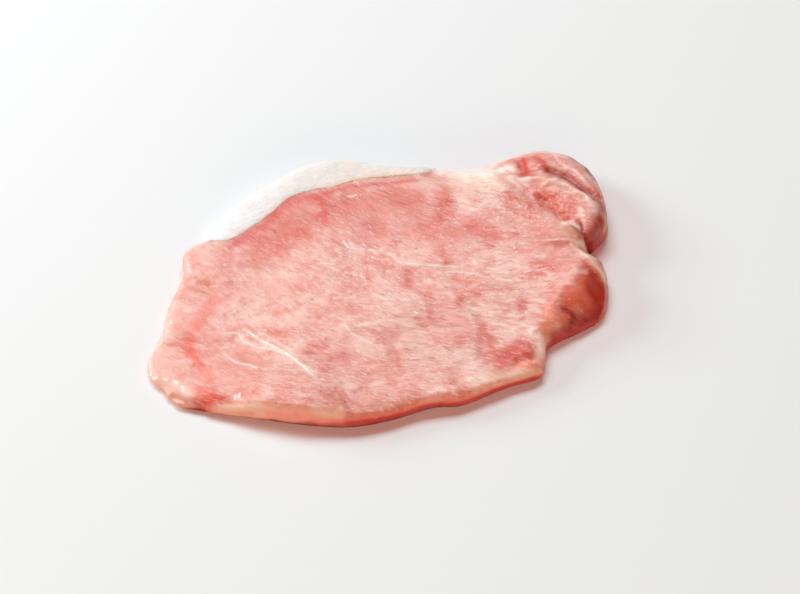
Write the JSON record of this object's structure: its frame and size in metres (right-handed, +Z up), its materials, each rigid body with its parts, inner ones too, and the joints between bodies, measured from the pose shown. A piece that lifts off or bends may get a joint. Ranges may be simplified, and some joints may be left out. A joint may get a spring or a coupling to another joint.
{
  "type": "raw pork loin steak",
  "caption": "Thin raw boneless pork loin steak: an oval slice of lean with a cap of white fat along its edge and a small round side muscle at its end.",
  "frame": {"origin": "centre of the steak's bounding box, on the surface it lies on", "axes": "+X along the steak towards the side muscle, +Y towards the fat cap, +Z up"},
  "size_m": [0.1502, 0.1028, 0.0104],
  "materials": {
    "lean": "raw pink lean meat, moist and softly glossy",
    "fat": "raw white back fat, smooth and slightly moist"
  },
  "bodies": {
    "root": {"loin_eye": "lean", "side_muscle": "lean", "fat_cap": "fat"}
  },
  "joints": []
}
